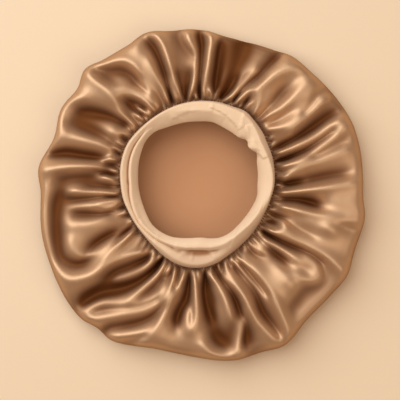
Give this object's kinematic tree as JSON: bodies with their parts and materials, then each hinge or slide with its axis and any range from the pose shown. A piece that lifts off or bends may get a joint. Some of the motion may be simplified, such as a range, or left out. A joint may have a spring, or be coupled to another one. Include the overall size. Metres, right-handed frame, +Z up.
{
  "type": "sleep bonnet",
  "caption": "Soft round sleep bonnet of satin, lying on its crown: a wide puffed crown gathered all round into a soft cream stretch band that opens upward for the head.",
  "frame": {"origin": "on the surface that the bonnet lies on, under the middle of the lying crown's outline", "axes": "+Z up out of the head opening; seen from above as in the picture, +X is to the right and +Y is up the picture"},
  "size_m": [0.3406, 0.3454, 0.0476],
  "materials": {
    "satin": "brown satin with a soft broad lustre, matt on its inner side",
    "band_cloth": "cream soft stretch cloth, doubled, matt with a faint sheen"
  },
  "bodies": {
    "root": {"crown": "satin", "band": "band_cloth"}
  },
  "joints": []
}
